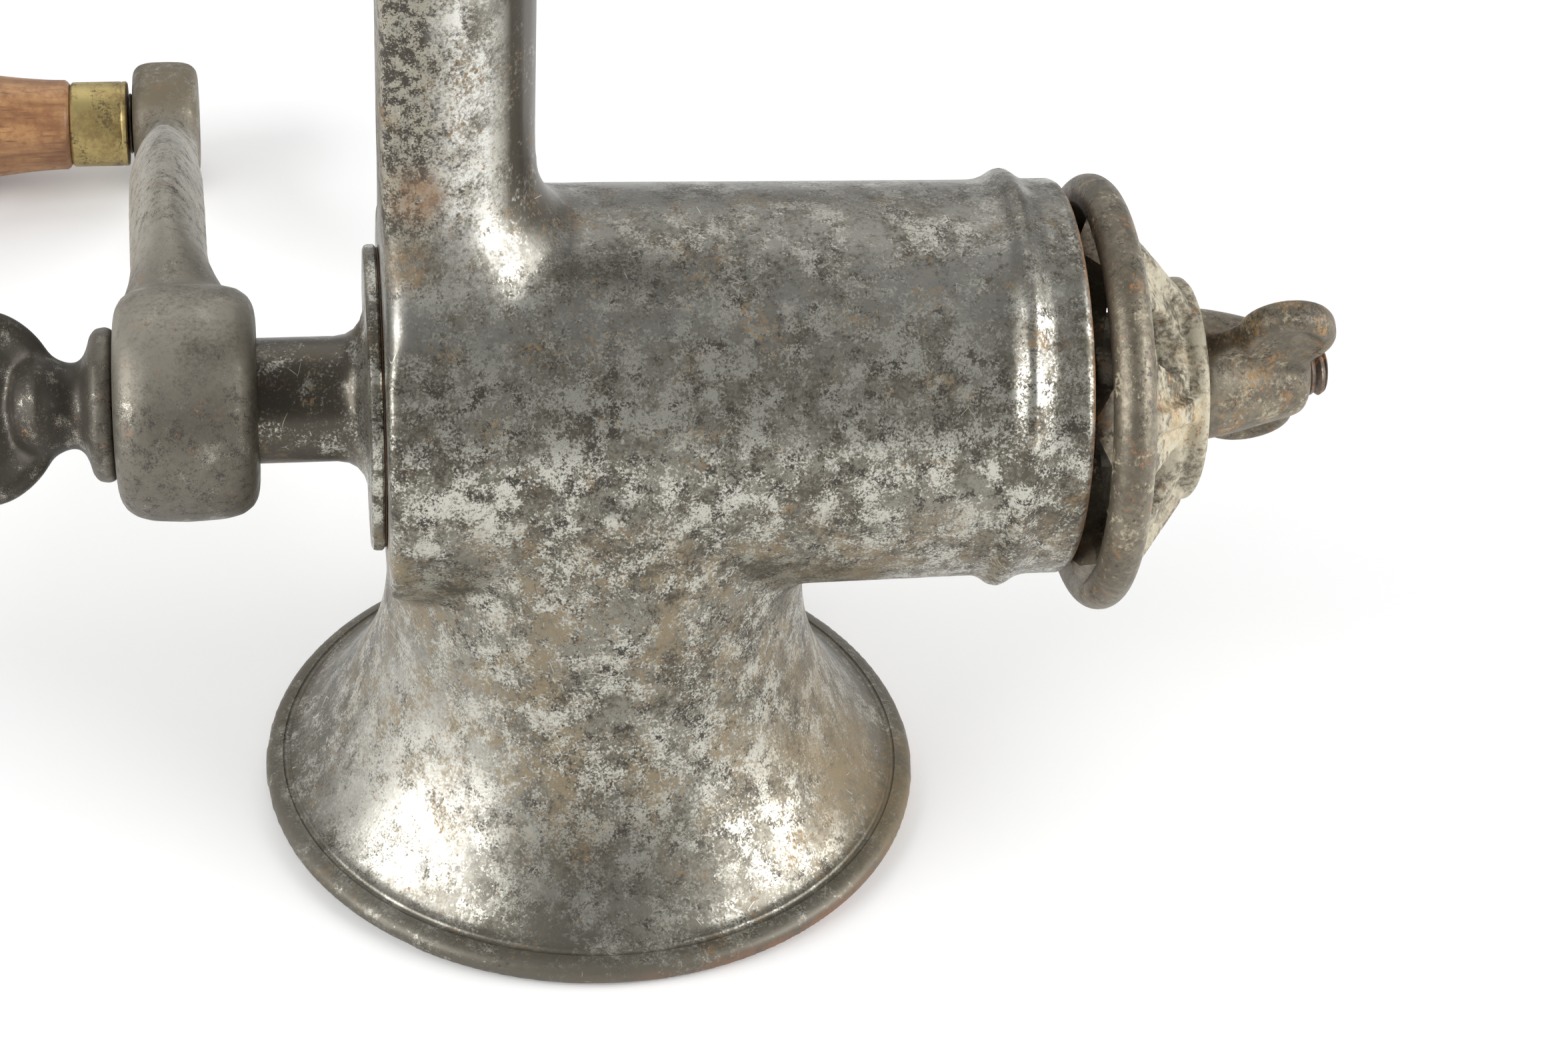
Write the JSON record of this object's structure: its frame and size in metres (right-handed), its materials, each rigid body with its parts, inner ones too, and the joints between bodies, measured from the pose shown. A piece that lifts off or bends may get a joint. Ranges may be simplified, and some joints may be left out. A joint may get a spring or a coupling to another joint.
{
  "type": "hand crank meat grinder",
  "caption": "Cast iron meat grinder with a table clamp, a worm feed, a ring cutter and an S-shaped hand crank, turned over to stand on its hopper mouth.",
  "frame": {"origin": "centre of the hopper mouth, on the surface that the grinder stands on when it is turned over", "axes": "+X along the barrel towards the cutter, +Z from the hopper towards the table clamp, so -Z is up in use; +Y is the side that the handle rests on"},
  "size_m": [0.2975, 0.2691, 0.275],
  "materials": {
    "tinned_iron": "worn tin over iron",
    "bare_iron": "dull",
    "dark_iron": "dull",
    "steel": "aged",
    "brass": "aged",
    "wood": "worn varnish",
    "fibre": "dull"
  },
  "bodies": {
    "body": {"body_casting": "tinned_iron"},
    "drive": {"feed_screw": "tinned_iron", "nose_stud": "steel", "thrust_washer": "fibre", "cutter": "dark_iron", "crank_arm": "bare_iron", "handle_spindle": "steel", "handle_washer": "steel", "handle_end_washer": "steel"},
    "wing_nut": {"cutter_wing_nut": "dark_iron"},
    "thumb_screw": {"crank_thumb_screw": "bare_iron"},
    "grip": {"handle_grip": "wood", "handle_ferrule": "brass"},
    "pad": {"clamp_pad": "dark_iron"},
    "screw": {"clamp_screw": "steel", "clamp_thumb_piece": "dark_iron", "clamp_thumb_pin": "steel"}
  },
  "joints": [
    {"name": "crank_turn", "type": "hinge", "parent": "body", "child": "drive", "pos_m": [-0.0333, 0, 0.0806], "axis": [1, 0, 0], "continuous": true},
    {"name": "handle_spin", "type": "hinge", "parent": "drive", "child": "grip", "pos_m": [-0.1, 0.19775, 0.0145], "axis": [1, 0, 0], "continuous": true},
    {"name": "wing_nut_turn", "type": "hinge", "parent": "drive", "child": "wing_nut", "pos_m": [0.108, 0, 0.0806], "axis": [1, 0, 0], "range_deg": [0, 360]},
    {"name": "thumb_screw_turn", "type": "hinge", "parent": "drive", "child": "thumb_screw", "pos_m": [-0.07, 0, 0.0806], "axis": [-1, 0, 0], "range_deg": [0, 360]},
    {"name": "clamp_slide", "type": "slide", "parent": "body", "child": "pad", "axis": [0, 0, 1], "range_m": [-0.0131, 0.0251]},
    {"name": "clamp_screw_turn", "type": "hinge", "parent": "pad", "child": "screw", "pos_m": [0.005, 0, 0.19151], "axis": [0, 0, 1], "range_deg": [-2340, 4500]}
  ],
  "couplings": [
    {"joint": "clamp_slide", "follows": "clamp_screw_turn", "m_per_rad": 0.00031831}
  ]
}
